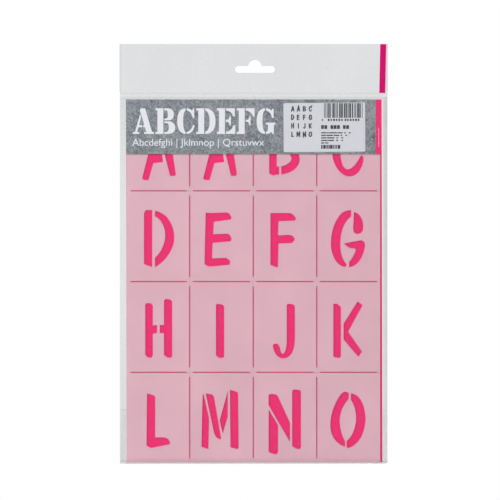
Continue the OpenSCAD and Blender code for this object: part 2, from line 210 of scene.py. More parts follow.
class StickerSettings(bpy.types.PropertyGroup):
    """Looks and print of the sticker."""

    paper: FloatVectorProperty(
        name="Paper", description="Colour of the sticker's paper",
        default=(0.64, 0.648, 0.685), size=3, min=0, max=1, subtype="COLOR")
    ink: FloatVectorProperty(
        name="Ink", description="Colour of the sticker's print",
        default=(0.035, 0.035, 0.042), size=3, min=0, max=1, subtype="COLOR")
    mini_scale: FloatProperty(
        name="Preview scale", description="Size of the small letters beside the real ones",
        default=0.0938, min=0.02, max=0.12, subtype="FACTOR")
    bolder: FloatProperty(
        name="Preview boldness",
        description="How far the small letters spread beyond their outlines",
        default=0.00017, min=0, max=0.0005, unit="LENGTH", precision=5)
    mini_x: FloatProperty(
        name="Preview inset",
        description="From the sticker's left edge to the middle of the preview",
        default=0.0149, min=0, max=0.05, unit="LENGTH", precision=4)
    mini_z: FloatProperty(
        name="Preview drop", description="From the sticker's top edge to the middle of the preview",
        default=0.0155, min=0, max=0.05, unit="LENGTH", precision=4)
    bars: IntProperty(
        name="Bars", description="Number of bars in the bar pattern", default=27, min=5, max=60)


class BagSettings(bpy.types.PropertyGroup):
    """Looks and shape of the bag."""

    front_tint: FloatVectorProperty(
        name="Front film",
        description="Share of light that one face of the front film lets through",
        default=(0.985, 0.985, 0.985), size=3, min=0, max=1, subtype="COLOR")
    back_tint: FloatVectorProperty(
        name="Back film", description="Share of light that one face of the back film lets through",
        default=(0.878, 0.882, 0.882), size=3, min=0, max=1, subtype="COLOR")
    middle_tint: FloatVectorProperty(
        name="Back film, middle", description="The same over the card",
        default=(0.95, 0.952, 0.952), size=3, min=0, max=1, subtype="COLOR")
    # Painted shade on the back film's margins, darkest at the top right corner
    painted_margin_shade: FloatProperty(
        name="Fall", description="How much more the back film holds back at its top right corner",
        default=0.22, min=0, max=0.5, subtype="FACTOR")
    header_tint: FloatVectorProperty(
        name="Header", description="Share of light that one face of the header lets through",
        default=(0.842, 0.847, 0.855), size=3, min=0, max=1, subtype="COLOR")
    stripe: FloatVectorProperty(
        name="Stripe", description="Colour of the stripe printed on the header",
        default=(0.565, 0.001, 0.128), size=3, min=0, max=1, subtype="COLOR")
    ripple: FloatProperty(
        name="Ripple", description="Height of the film's soft ripples",
        default=0.0005, min=0, max=0.003, unit="LENGTH", precision=5)
    film_t: FloatProperty(
        name="Film", description="Thickness of the film",
        default=0.0001, min=0.00002, max=0.0003, unit="LENGTH", precision=5)
    stripe_w: FloatProperty(
        name="Stripe width", description="Width of the printed stripe",
        default=0.005, min=0.001, max=0.02, unit="LENGTH", precision=4)
    stripe_inset: FloatProperty(
        name="Stripe inset", description="From the header's right edge to the stripe, at the top",
        default=0.0014, min=0, max=0.02, unit="LENGTH", precision=4)
    stripe_lean: FloatProperty(
        name="Stripe lean", description="How far the stripe's foot lies left of its top",
        default=0.0008, min=0, max=0.01, unit="LENGTH", precision=4)


class StageSettings(bpy.types.PropertyGroup):
    """Camera, lamps and floor."""

    view_w: FloatProperty(
        name="View width", description="Width that the camera sees at the pack",
        default=0.4134, min=0.1, max=2, unit="LENGTH", precision=4)
    view_x: FloatProperty(
        name="View shift, sideways", description="From the middle of the pack to the view's middle",
        default=-0.00305, min=-0.1, max=0.1, unit="LENGTH", precision=5)
    view_z: FloatProperty(
        name="View shift, up", description="From the middle of the pack to the view's middle",
        default=0.0032, min=-0.1, max=0.1, unit="LENGTH", precision=5)
    distance: FloatProperty(
        name="Camera distance", description="From the camera to the pack",
        default=3.0, min=0.5, max=20, unit="LENGTH")
    floor_drop: FloatProperty(
        name="Floor drop",
        description="From the pack's foot to the floor, with room for the contents",
        default=0.7, min=0.01, max=3, unit="LENGTH")
    see_through: IntProperty(
        name="See-through faces",
        description="Number of film faces that one ray of light gets through",
        default=32, min=8, max=128)
    ambient: FloatProperty(
        name="Ambient", description="Strength of the light from all round",
        default=0.36, min=0, max=2)


def settings(kind):
    """The property group of one kind, with its defaults or what a user has set."""
    return getattr(bpy.context.scene, "stencil_" + kind)


# Modelling helpers


def deselect():
    """An operator acts on all that is selected, so each piece starts from nothing selected."""
    bpy.ops.object.select_all(action="DESELECT")


def only(piece):
    """Makes one piece the selected and active object."""
    deselect()
    piece.select_set(True)
    bpy.context.view_layer.objects.active = piece


def apply_modifier(piece, kind, **values):
    """Adds one modifier with these values and applies it."""
    only(piece)
    modifier = piece.modifiers.new(kind.title(), kind)
    for name, value in values.items():
        setattr(modifier, name, value)
    bpy.ops.object.modifier_apply(modifier=modifier.name)


def upright_grid(name, low, high, y, cells_x, cells_z, facing=-1):
    """A flat grid across X and Z at depth y that faces the viewer, or away with facing 1."""
    deselect()
    bpy.ops.mesh.primitive_grid_add(
        x_subdivisions=cells_x, y_subdivisions=cells_z, size=1,
        location=((low.x + high.x) / 2, y, (low.z + high.z) / 2),
        rotation=(math.radians(-90 * facing), 0, 0))
    piece = bpy.context.object
    piece.name = name
    piece.scale = (high.x - low.x, high.z - low.z, 1)
    bpy.ops.object.transform_apply(location=True, rotation=True, scale=True)
    return piece


def thicken(piece, thickness):
    """Gives a sheet its thickness, inwards from its outer side."""
    apply_modifier(piece, "SOLIDIFY", thickness=thickness, offset=-1)


def smooth(piece):
    """Shades a curved piece smoothly, with its sharp edges kept."""
    only(piece)
    bpy.ops.object.shade_smooth_by_angle(angle=math.radians(35))


def dress(piece, body, slot, material, *nodes):
    """Gives a finished piece its material and its body, and hides the CAD nodes that it stands for.
    """
    piece.data.materials.clear()
    piece.data.materials.append(material)
    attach(piece, body)
    if nodes:
        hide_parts(*nodes)


def copy_of(node, name):
    """A copy of a CAD node's mesh as a new flat-shaded piece, with its loose triangles merged."""
    piece = bpy.data.objects.new(name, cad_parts[node].data.copy())
    bpy.context.collection.objects.link(piece)
    only(piece)
    bpy.ops.object.mode_set(mode="EDIT")
    bpy.ops.mesh.select_all(action="SELECT")
    bpy.ops.mesh.remove_doubles(threshold=MERGE)
    bpy.ops.object.mode_set(mode="OBJECT")
    bpy.ops.mesh.customdata_custom_splitnormals_clear()
    bpy.ops.object.shade_flat()
    return piece


def slice_along(piece, axis, low, high, count):
    """Cuts rings into a long piece, so that it can be uneven along its length."""
    only(piece)
    bpy.ops.object.mode_set(mode="EDIT")
    for index in range(1, count):
        place = Vector((0, 0, 0))
        place[axis] = low[axis] + (high[axis] - low[axis]) * index / count
        normal = Vector((0, 0, 0))
        normal[axis] = 1
        bpy.ops.mesh.select_all(action="SELECT")
        bpy.ops.mesh.bisect(plane_co=place, plane_no=normal)
    bpy.ops.object.mode_set(mode="OBJECT")


def front_loops(node):
    """The outlines of a CAD node's front face as lists of (x, z), from left to right."""
    shape = bmesh.new()
    shape.from_mesh(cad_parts[node].data)
    bmesh.ops.remove_doubles(shape, verts=shape.verts, dist=MERGE)
    shape.normal_update()
    beside = {}
    for edge in shape.edges:
        if sum(face.normal.y < -0.9 for face in edge.link_faces) == 1:
            for vert, other in (edge.verts, reversed(edge.verts)):
                beside.setdefault(vert, []).append(other)
    loops = []
    while beside:
        vert = next(iter(beside))
        loop = []
        while vert in beside:
            loop.append((vert.co.x, vert.co.z))
            following = [other for other in beside.pop(vert) if other in beside]
            if following:
                vert = following[0]
        loops.append(loop)
    shape.free()
    return sorted(loops, key=lambda points: min(x for x, z in points))


def flat_shape(name, loops, y, depth, grow=0):
    """A flat plate of the given outlines, whose front lies at y and which is depth thick."""
    curve = bpy.data.curves.new(name, "CURVE")
    curve.dimensions = "2D"
    curve.fill_mode = "BOTH"
    curve.extrude = depth / 2
    curve.offset = grow
    for loop in loops:
        spline = curve.splines.new("POLY")
        spline.points.add(len(loop) - 1)
        for point, (x, z) in zip(spline.points, loop):
            point.co = (x, z, 0, 1)
        spline.use_cyclic_u = True
    piece = bpy.data.objects.new(name, curve)
    bpy.context.collection.objects.link(piece)
    only(piece)
    bpy.ops.object.convert(target="MESH")
    piece = bpy.context.object
    piece.rotation_euler = (math.radians(90), 0, 0)
    piece.location = (0, y + depth / 2, 0)
    bpy.ops.object.transform_apply(location=True, rotation=True, scale=True)
    return piece


def block(left, right, bottom, top):
    """The outline of one printed block."""
    return [(left, bottom), (right, bottom), (right, top), (left, top)]


# Shader helpers


def new_material(name):
    """A new material, a function that adds a node to it, and one that shows a shader.

    The adding function takes sockets by name, or by number as in _0."""
    material = bpy.data.materials.new(name)
    material.use_nodes = True
    tree = material.node_tree
    tree.nodes.clear()
    output = tree.nodes.new("ShaderNodeOutputMaterial")

    def add(kind, options=None, **inputs):
        node = tree.nodes.new("ShaderNode" + kind)
        for key, value in (options or {}).items():
            setattr(node, key, value)
        for key, value in inputs.items():
            number = key[1:]
            socket = node.inputs[int(number) if number.isdigit() else key.replace("_", " ")]
            if isinstance(value, bpy.types.NodeSocket):
                tree.links.new(value, socket)
            else:
                socket.default_value = value
        return node

    return material, add, lambda shader: tree.links.new(shader, output.inputs["Surface"])


def opaque(colour):
    """A colour with its alpha, as colour sockets take it."""
    return (*colour, 1)


def noise_value(add, scale, detail=3, roughness=0.5, stretch=(1, 1, 1), distortion=0, turn=0):
    """Noise between 0 and 1 over the object's coordinates, with scale in waves per metre."""
    place = add("TexCoord").outputs["Object"]
    if turn:
        place = add("Mapping", Vector=place, Rotation=(0, math.radians(turn), 0)).outputs["Vector"]
    if stretch != (1, 1, 1):
        place = add("Mapping", Vector=place, Scale=stretch).outputs["Vector"]
    return add("TexNoise", Vector=place, Scale=scale, Detail=detail, Roughness=roughness,
               Distortion=distortion).outputs["Fac"]


def ramp(add, value, low, high, to_low=0.0, to_high=1.0):
    """Spreads the stretch low to high of a value over another one, and stops at its ends."""
    node = add("MapRange", {"clamp": True}, Value=value)
    for socket, number in zip(("From Min", "From Max", "To Min", "To Max"),
                              (low, high, to_low, to_high)):
        node.inputs[socket].default_value = number
    return node.outputs["Result"]


def blend_colours(add, share, first, second, kind="MIX"):
    """Mixes two colours, each a socket or a plain colour."""
    node = add("Mix", {"data_type": "RGBA", "blend_type": kind})
    links = node.id_data.links
    for index, value in ((0, share), (6, first), (7, second)):
        socket = node.inputs[index]
        if isinstance(value, bpy.types.NodeSocket):
            links.new(value, socket)
        elif isinstance(value, (int, float)):
            socket.default_value = value
        else:
            socket.default_value = opaque(value)
    return node.outputs[2]


def calculate(add, operation, first, second=0.0):
    """One step of arithmetic."""
    return add("Math", {"operation": operation}, _0=first, _1=second).outputs[0]


def bump(add, height, strength, distance):
    """The normal of a surface with these heights."""
    return add("Bump", Height=height, Strength=strength, Distance=distance).outputs["Normal"]


# Materials


def frosted_film():
    """The stencil's film: milky, with a fine satin grain and faint clouds."""
    sheet = settings("sheet")
    material, add, show = new_material("frosted_stencil_film")
    clouds = noise_value(add, 26, detail=5, roughness=0.6)
    grain = noise_value(add, 1 / sheet.grain, detail=2)
    colour = blend_colours(add, ramp(add, clouds, 0.35, 0.7), [c * 0.96 for c in sheet.colour],
                           [min(1, c * 1.03) for c in sheet.colour])
    rough = ramp(add, clouds, 0.3, 0.7, 0.42, 0.52)
    show(add("BsdfPrincipled", Base_Color=colour, Roughness=rough, Alpha=sheet.cover,
             Specular_IOR_Level=0.25, Normal=bump(add, grain, 0.12, 0.00005)).outputs[0])
    return material


def cut_edge():
    """Opaque cut edges of the plates, darker than the faces: painted shade of the card's magenta.
    """
    sheet = settings("sheet")
    material, add, show = new_material("cut_film_edge")
    ticks = noise_value(add, 2200, detail=3, roughness=0.6)
    colour = blend_colours(add, ramp(add, ticks, 0.3, 0.7), [c * 0.9 for c in sheet.edge],
                           sheet.edge)
    show(add("BsdfPrincipled", Base_Color=colour, Roughness=ramp(add, ticks, 0.3, 0.7, 0.4, 0.55),
             Specular_IOR_Level=0.25).outputs[0])
    return material


def stone_print(add, card):
    """The colour of the printed stone: clouds, slanting streaks, specks and short dark cracks."""
    clouds = noise_value(add, 48, detail=9, roughness=0.74, distortion=0.3)
    colour = blend_colours(add, ramp(add, clouds, 0.12, 0.88), card.stone_dark, card.stone_light)
    tone = noise_value(add, 24, detail=4)
    streaks = noise_value(add, 230, detail=5, roughness=0.65, turn=-28, stretch=(0.35, 1, 1.4))
    specks = noise_value(add, 800, detail=3, roughness=0.75)
    for pattern, low, high, at_low, at_high, shade in (
            (tone, 0.45, 0.65, 0, 0.4, (0.22, 0.26, 0.253)),
            (streaks, 0.5, 0.72, 0, 0.5, (0.36, 0.375, 0.405)),
            (streaks, 0.28, 0.44, 0.5, 0, (0.12, 0.14, 0.155)),
            (specks, 0.5, 0.66, 0, 1, (0.37, 0.385, 0.41)),
            (specks, 0.33, 0.48, 1, 0, (0.09, 0.105, 0.12))):
        share = ramp(add, pattern, low, high, at_low, at_high)
        colour = blend_colours(add, share, colour, shade)
    lines = noise_value(add, 60, detail=5, roughness=0.6, turn=-28, stretch=(0.8, 1, 2.4),
                        distortion=1.2)
    crack = calculate(add, "ABSOLUTE", calculate(add, "SUBTRACT", lines, 0.5))
    where = ramp(add, noise_value(add, 75, detail=2), 0.48, 0.56)
    crack = calculate(add, "MULTIPLY", ramp(add, crack, 0.0, 0.02, 1.0, 0), where)
    return blend_colours(add, crack, colour, (0.045, 0.052, 0.062))


def printed_card():
    """The card: magenta inside, stone and a band on the front panel, pale behind, white edges."""
    card = settings("card")
    material, add, show = new_material("printed_card")
    place = add("SeparateXYZ", Vector=add("TexCoord").outputs["Object"])
    x, y, z = place.outputs
    fold_z = CARD_HIGH.z - CARD_HIGH.y
    above = calculate(add, "MAXIMUM", calculate(add, "SUBTRACT", z, fold_z), 0.0)
    depth = calculate(add, "SQRT", calculate(
        add, "ADD", calculate(add, "MULTIPLY", y, y), calculate(add, "MULTIPLY", above, above)))
    outside = calculate(add, "GREATER_THAN", depth, CARD_HIGH.y - PRINT_T)
    inside = calculate(add, "LESS_THAN", depth, CARD_HIGH.y - CARD_T + PRINT_T)
    band = calculate(add, "GREATER_THAN", x, CARD_HIGH.x - card.lean - card.band_w)
    behind = calculate(add, "MULTIPLY", calculate(add, "GREATER_THAN", y, 0.0),
                       calculate(add, "LESS_THAN", z, fold_z - STONE_OVER))
    fibres = noise_value(add, 1400, detail=3, roughness=0.6)
    ink = blend_colours(add, ramp(add, noise_value(add, 20, detail=5), 0.3, 0.7), card.magenta,
                        [min(1, c * 1.05) for c in card.magenta])
    paper = blend_colours(add, ramp(add, fibres, 0.3, 0.7), card.back,
                          [c * 0.94 for c in card.back])
    outer = blend_colours(add, band, stone_print(add, card), ink)
    outer = blend_colours(add, behind, outer, paper)
    colour = blend_colours(add, outside, paper, outer)
    colour = blend_colours(add, inside, colour, ink)
    rough = ramp(add, fibres, 0.3, 0.7, 0.38, 0.5)
    show(add("BsdfPrincipled", Base_Color=colour, Roughness=rough, Specular_IOR_Level=0.08,
             Normal=bump(add, fibres, 0.1, 0.00004)).outputs[0])
    return material


def print_ink(name, colour, wear):
    """Printed ink with a slightly uneven cover, worn where the noise is high."""
    material, add, show = new_material(name)
    patches = noise_value(add, 420, detail=5, roughness=0.7)
    broad = noise_value(add, 35, detail=3)
    worn = [c * (1 - wear) + 0.3 * wear for c in colour]
    tone = blend_colours(add, ramp(add, patches, 0.35, 0.75), colour, worn)
    tone = blend_colours(add, ramp(add, broad, 0.4, 0.7, 0, 0.5), tone, worn)
    rough = ramp(add, patches, 0.3, 0.7, 0.4, 0.55)
    show(add("BsdfPrincipled", Base_Color=tone, Roughness=rough,
             Specular_IOR_Level=0.04).outputs[0])
    return material


def label_paper():
    """The sticker's paper: smooth, with faint fibres."""
    sticker = settings("sticker")
    material, add, show = new_material("label_paper")
    fibres = noise_value(add, 900, detail=5, roughness=0.65, stretch=(1, 1, 0.4))
    tone = noise_value(add, 28, detail=3)
    colour = blend_colours(add, ramp(add, fibres, 0.3, 0.75), sticker.paper,
                           [c * 0.95 for c in sticker.paper])
    colour = blend_colours(add, ramp(add, tone, 0.35, 0.7, 0, 0.4), colour,
                           [min(1, c * 1.04) for c in sticker.paper])
    show(add("BsdfPrincipled", Base_Color=colour, Roughness=ramp(add, fibres, 0.3, 0.7, 0.5, 0.62),
             Specular_IOR_Level=0.2, Normal=bump(add, fibres, 0.15, 0.00003)).outputs[0])
    return material


def margin_share(add, ways):
    """1 where the pocket stands out beyond the card these ways, 0 over the card."""
    x, y, z = add("SeparateXYZ", Vector=add("TexCoord").outputs["Object"]).outputs
    spans = {"x": (x, SHEET_LOW.x, CARD_HIGH.x), "z": (z, CARD_LOW.z, CARD_HIGH.z)}
    beyond = []
    for along, low, high in map(spans.get, ways):
        off = calculate(add, "ABSOLUTE", calculate(add, "SUBTRACT", along, (low + high) / 2))
        reach = (high - low) / 2
        beyond.append(ramp(add, off, reach - MARGIN_SOFT, reach + MARGIN_SOFT))
    return calculate(add, "MAXIMUM", *beyond) if len(beyond) > 1 else beyond[0]


def clear_film(name, tint, haze, fine=0.06, roughness=0.07, painted_margin_shade=0.0, line=None,
               sides=None):
    """Clear film: see-through with a grey tint, a faint haze and glossy, slightly wavy faces.

    Its margins can be given painted shade, more than its middle and most on the right. A line is
    the height of a mark pressed across it, and sides the distance of two marks from its middle."""
    material, add, show = new_material(name)
    waves = noise_value(add, 22, detail=4, roughness=0.55, stretch=(1, 1, 0.45), distortion=0.5)
    scuffs = noise_value(add, 380, detail=4, roughness=0.7)
    normal = bump(add, waves, fine, 0.004)
    # Where the waves are high the film lets more through: partly uneven tone, partly a painted
    # sheen
    through = blend_colours(add, ramp(add, waves, 0.35, 0.7), tint,
                            [min(1, 0.1 + c * 0.9) for c in tint])
    x, y, z = add("SeparateXYZ", Vector=add("TexCoord").outputs["Object"]).outputs
    # Painted shade: the film darker near the foot, only over the card
    painted_foot_shade = ramp(add, z, FRONT_LOW.z - 0.2 * MM, FRONT_LOW.z + FOOT_PAINTED_SHADE_H, FOOT_PAINTED_SHADE, 0)
    painted_foot_shade = calculate(add, "MULTIPLY", painted_foot_shade, ramp(add, margin_share(add, "x"), 0, 1, 1, 0))
    through = blend_colours(add, painted_foot_shade, through, (0, 0, 0))
    # Painted shade on the margins: on the right growing towards the top, at the foot and near the
    # card's fold; over the card the middle tint takes over
    if painted_margin_shade:
        beside = calculate(add, "MULTIPLY", ramp(add, x, CARD_HIGH.x - MM, cad_high.x),
                           ramp(add, z, FRONT_LOW.z, FRONT_HIGH.z, 0.4, 1))
        foot = ramp(add, z, FRONT_LOW.z, FRONT_LOW.z + FOOT_SHADE_H, 0.28, 0)
        top = calculate(add, "MAXIMUM",
                        ramp(add, z, CARD_HIGH.z - 0.5 * MM, CARD_HIGH.z + 0.5 * MM, 0, 0.35),
                        ramp(add, z, CARD_HIGH.z - TOP_SHADE_H, CARD_HIGH.z, 0, 0.2))
        shade = calculate(add, "MAXIMUM", beside, calculate(add, "MAXIMUM", foot, top))
        shade = calculate(add, "MULTIPLY", shade, painted_margin_shade)
        through = blend_colours(add, shade, through, (0, 0, 0))
        through = blend_colours(add, margin_share(add, "xz"), settings("bag").middle_tint, through)
    middle = calculate(add, "SUBTRACT", x, (cad_low.x + cad_high.x) / 2)
    for along, place in ((z, line), (calculate(add, "ABSOLUTE", middle), sides)):
        if place is not None:
            off = calculate(add, "ABSOLUTE", calculate(add, "SUBTRACT", along, place))
            mark = ramp(add, off, MARK_CORE, MARK_REACH, MARK_SHADE, 0)
            through = blend_colours(add, mark, through, (0, 0, 0))
    clear = add("BsdfTransparent", Color=through)
    milky = add("BsdfDiffuse", Color=(0.86, 0.87, 0.88, 1), Roughness=0.4)
    cover = ramp(add, scuffs, 0.3, 0.75, haze * 0.6, haze * 1.5)
    body = add("MixShader", _0=cover, _1=clear.outputs[0], _2=milky.outputs[0])
    gloss = add("BsdfAnisotropic", Color=(1, 1, 1, 1), Normal=normal,
                Roughness=ramp(add, scuffs, 0.3, 0.7, roughness, roughness * 1.8))
    inside = add("NewGeometry").outputs["Backfacing"]
    mirror = add("Fresnel", IOR=ramp(add, inside, 0, 1, FILM_IOR, 1 / FILM_IOR), Normal=normal)
    show(add("MixShader", _0=mirror.outputs[0], _1=body.outputs[0], _2=gloss.outputs[0]).outputs[0])
    return material


# Shapes of the film


def ease(value):
    """A smooth step from 0 to 1."""
    value = max(0.0, min(1.0, value))
    return value * value * (3 - 2 * value)


def ripple_at(x, z, seed):
    """Height of the film's ripples at a place, from 0 to 1: long folds and a few small ones."""
    long_folds = noise.noise(Vector((x * 17, z * 6, seed)))
    small_folds = noise.noise(Vector((x * 60, z * 24, seed + 5)))
    return max(0.0, min(1.0, 0.45 + 0.75 * long_folds + 0.2 * small_folds))


def pocket_depth(x, z, depth):
    """Distance of the pocket film's outer side from the middle plane, as the bag closes."""
    left = (x - FRONT_LOW.x) / (SHEET_LOW.x - SHOULDER_GAP - FRONT_LOW.x)
    right = (FRONT_HIGH.x - x) / (FRONT_HIGH.x - CARD_HIGH.x - SHOULDER_GAP)
    up = (FRONT_HIGH.z - z) / CLOSING_H
    rim = settings("bag").film_t
    return rim + (depth - rim) * max(0.0, min(1.0, left, right, up))


def edge_share(x, z, low, high):
    """0 at the edges of a panel and 1 where the film is free to ripple."""
    return ease(min(x - low.x, high.x - x, z - low.z, high.z - z) / CALM_RIM)


def is_cut(face, low, high):
    """Whether a face is a cut edge: not where a plate goes over into the next one."""
    if abs(face.normal.y) > 0.5:
        return False
    for axis in (0, 2):
        for side, outside in ((low, SHEET_LOW), (high, SHEET_HIGH)):
            if abs(face.center[axis] - side[axis]) < MERGE:
                return abs(side[axis] - outside[axis]) < MERGE
    return True


class STENCIL_OT_sheet(bpy.types.Operator):
    """Gives the sixteen plates their frosted film"""

    bl_idname = "stencil.sheet"
    bl_label = "Stencil sheet"

    def execute(self, context):
        sheet = settings("sheet")
        film = frosted_film()
        cut = cut_edge()
        for name in PLATES:
            low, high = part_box(name)
            plate = copy_of(name, name.replace("stencil_plate", "letter_plate"))
            moves = []
            for vert in plate.data.vertices:
                x, y, z = vert.co
                if min(x - low.x, high.x - x, z - low.z, high.z - z) > BORDER:
                    inward = Vector((vert.normal.x, 0, vert.normal.z)).normalized()
                    moves.append((vert, Vector((-sheet.nudge, 0, 0)) - sheet.spread * inward))
            for vert, move in moves:
                vert.co += move
            dress(plate, "stencil", "stencil_film", film, name)
            plate.data.materials.append(cut)
            for face in plate.data.polygons:
                face.material_index = int(is_cut(face, low, high))
        return {"FINISHED"}


class STENCIL_OT_card(bpy.types.Operator):
    """Prints the folded card"""

    bl_idname = "stencil.card"
    bl_label = "Printed card"

    def execute(self, context):
        lean = settings("card").lean
        card = copy_of("insert_card", "folded_card")
        for vert in card.data.vertices:
            vert.co.x -= lean * (vert.co.z - CARD_LOW.z) / (CARD_HIGH.z - CARD_LOW.z)
        dress(card, "insert", "printed_card", printed_card(), "insert_card")
        return {"FINISHED"}


# Large characters in a row: corners [x, z] and curves [a, b, x, z] that bend towards [a, b],
# on a height of 100
STEM = [[2, 0], [2, 8], [10, 9], [10, 91], [2, 92], [2, 100], [34, 100], [34, 0]]
TOP_ARM = [[38, 100], [74, 100], [74, 68], [67, 68], [62, 88, 38, 92]]
MIDDLE_ARM = [[38, 55], [46, 55], [52, 60, 53, 69], [58, 69], [58, 33], [53, 33], [52, 42, 46, 47],
              [38, 47]]
LEFT_BOW = [[38, 100], [4, 98, 4, 50], [4, 2, 38, 0], [38, 8], [28, 14, 28, 50], [28, 86, 38, 92]]
TOP_HOOK = [[42, 100], [56, 100, 64, 90], [67, 98], [73, 98], [73, 62], [67, 62], [62, 86, 42, 92]]
TITLE_GLYPHS = [
    (88, [[[2, 0], [28, 0], [28, 7], [20, 8], [25, 26], [40, 26], [40, 34], [27.5, 34], [36, 66],
           [32, 78], [11, 8], [2, 7]],
          [[34, 100], [52, 100], [80, 8], [88, 7], [88, 0], [48, 0], [48, 7], [57, 8], [51, 26],
           [44, 26], [44, 34], [49, 34], [38, 70], [31, 91]]]),
    (82, [STEM,
          [[38, 100], [52, 100], [76, 98, 76, 76], [76, 58, 60, 53], [38, 53], [38, 60], [48, 60],
           [52, 64, 52, 77], [52, 91, 46, 92], [38, 92]],
          [[38, 49], [60, 49], [82, 44, 82, 25], [82, 2, 54, 0], [38, 0], [38, 8], [48, 8],
           [56, 12, 56, 26], [56, 41, 48, 42], [38, 42]]]),
    (75, [LEFT_BOW, TOP_HOOK, [[42, 8], [60, 12, 67, 34], [75, 34], [70, 2, 42, 0]]]),
    (80, [STEM,
          [[38, 100], [80, 98, 80, 50], [80, 2, 38, 0], [38, 8], [56, 14, 56, 50],
           [56, 86, 38, 92]]]),
    (76, [STEM, TOP_ARM, MIDDLE_ARM, [[38, 8], [62, 12, 68, 34], [76, 34], [76, 0], [38, 0]]]),
    (74, [STEM, TOP_ARM, MIDDLE_ARM]),
    (80, [LEFT_BOW, TOP_HOOK,
          [[42, 44], [80, 44], [80, 37], [74, 36], [74, 0], [68, 0], [64, 8], [56, 0, 42, 0],
           [42, 8], [50, 10, 50, 20], [50, 36], [42, 37]]]),
]
GLYPH_H = 100
GLYPH_GAP = 4
SMALL_CHARACTERS = "Abcdefghi | Jklmnop | Qrstuvwx"
# Column of small marks on the band: from the fold down to it, and from mark to mark
BAND_DROP = 23.6 * MM
BAND_MARKS = 14
BAND_PITCH = 1.15 * MM
BAND_MARK_H = 0.6 * BAND_PITCH


def bend_path(path):
    """The points of one printed outline, with its curves flattened."""
    points = []
    start = Vector(path[-1][-2:])
    for entry in path:
        stop = Vector(entry[-2:])
        if len(entry) == 4:
            towards = Vector(entry[:2])
            for step in range(1, CURVE_STEPS + 1):
                t = step / CURVE_STEPS
                points.append((1 - t) ** 2 * start + 2 * t * (1 - t) * towards + t * t * stop)
        else:
            points.append(stop)
        start = stop
    return points


class STENCIL_OT_title(bpy.types.Operator):
    """Prints the two rows of characters and the band's small marks on the front panel"""

    bl_idname = "stencil.title"
    bl_label = "Panel print"

    def execute(self, context):
        card = settings("card")
        ink = print_ink("title_ink", card.ink, 0.1)
        left = CARD_LOW.x + card.title_inset
        foot = CARD_HIGH.z - card.title_drop - card.title_h
        run = sum(width + GLYPH_GAP for width, paths in TITLE_GLYPHS) - GLYPH_GAP
        loops = []
        start = 0
        for width, paths in TITLE_GLYPHS:
            for path in paths:
                loops.append([
                    (left + (start + point.x) * card.title_w / run,
                     foot + point.y * card.title_h / GLYPH_H) for point in bend_path(path)])
            start += width + GLYPH_GAP
        title = flat_shape("title_print", loops, CARD_LOW.y - INK_T, INK_T)
        dress(title, "insert", "printed_card", ink)

        deselect()
        bpy.ops.object.text_add()
        line = bpy.context.object
        line.data.body = SMALL_CHARACTERS
        line.data.extrude = INK_T / 2
        bpy.ops.object.convert(target="MESH")
        line = bpy.context.object
        line.name = "second_line_print"
        low_x = min(v.co.x for v in line.data.vertices)
        high_x = max(v.co.x for v in line.data.vertices)
        share = card.line_w / (high_x - low_x)
        line.scale = (share, share, 1)
        line.rotation_euler = (math.radians(90), 0, 0)
        line.location = (left - low_x * share, CARD_LOW.y - INK_T / 2, foot - card.line_drop)
        bpy.ops.object.transform_apply(location=True, rotation=True, scale=True)
        dress(line, "insert", "printed_card", ink)

        middle = CARD_HIGH.x - card.lean - card.band_w / 2
        marks = []
        for index in range(BAND_MARKS):
            reach = (0.16 + index * 5 % 3 * 0.06) * MM
            top = CARD_HIGH.z - BAND_DROP - index * BAND_PITCH
            marks.append(block(middle - reach, middle + reach, top - BAND_MARK_H, top))
        column = flat_shape("band_print", marks, CARD_LOW.y - INK_T, INK_T)
        dress(column, "insert", "printed_card", ink)
        return {"FINISHED"}


# Printed rows of the sticker in mm, from the top left corner of its bars:
# (drop, height, runs of (start, width))
STICKER_ROWS = [
    (12.9, 1.9, [(-1.9, 0.9), (3.1, 1.5), (5.4, 1.1), (7.5, 1.5), (9.8, 1.2), (11.9, 1.4),
                 (14.2, 1.2), (17.0, 1.4), (19.1, 1.2), (21.3, 1.4), (23.5, 1.3), (25.7, 1.5),
                 (28.0, 1.2)]),
    (18.2, 3.1, [(-2.4, 2.3), (0.3, 2.3), (5.3, 2.4), (8.0, 2.3), (10.7, 2.4), (15.6, 2.3),
                 (18.3, 2.3)]),
    (24.0, 1.0, [(-2.4, 4.2), (2.2, 1.6), (4.2, 6.5), (11.3, 4.0), (16.6, 1.3), (20.4, 1.5)]),
    (26.1, 1.0, [(-2.4, 3.8), (1.8, 5.6), (8.0, 4.6), (13.6, 1.4), (17.6, 1.5)]),
    (28.2, 1.0, [(-2.4, 4.4), (2.4, 6.2), (10.2, 1.5), (14.2, 1.6)]),
    (30.3, 1.0, [(-2.4, 5.2), (3.2, 5.0), (10.0, 1.6), (14.3, 1.4)]),
    (32.4, 1.0, [(-2.4, 2.6), (0.9, 2.6)]),
    (34.5, 3.2, [(-2.4, 1.2), (-0.7, 2.1), (1.9, 1.2), (3.6, 1.0), (4.9, 2.1), (7.4, 0.8),
                 (8.7, 0.8), (10.0, 0.8), (11.3, 2.1)]),
]
# Place of the bars from the sticker's top left corner, and their size together
BARS_LEFT = 33.6 * MM
BARS_TOP = 0.5 * MM
BARS_H = 12.1 * MM
BARS_W = 31.8 * MM


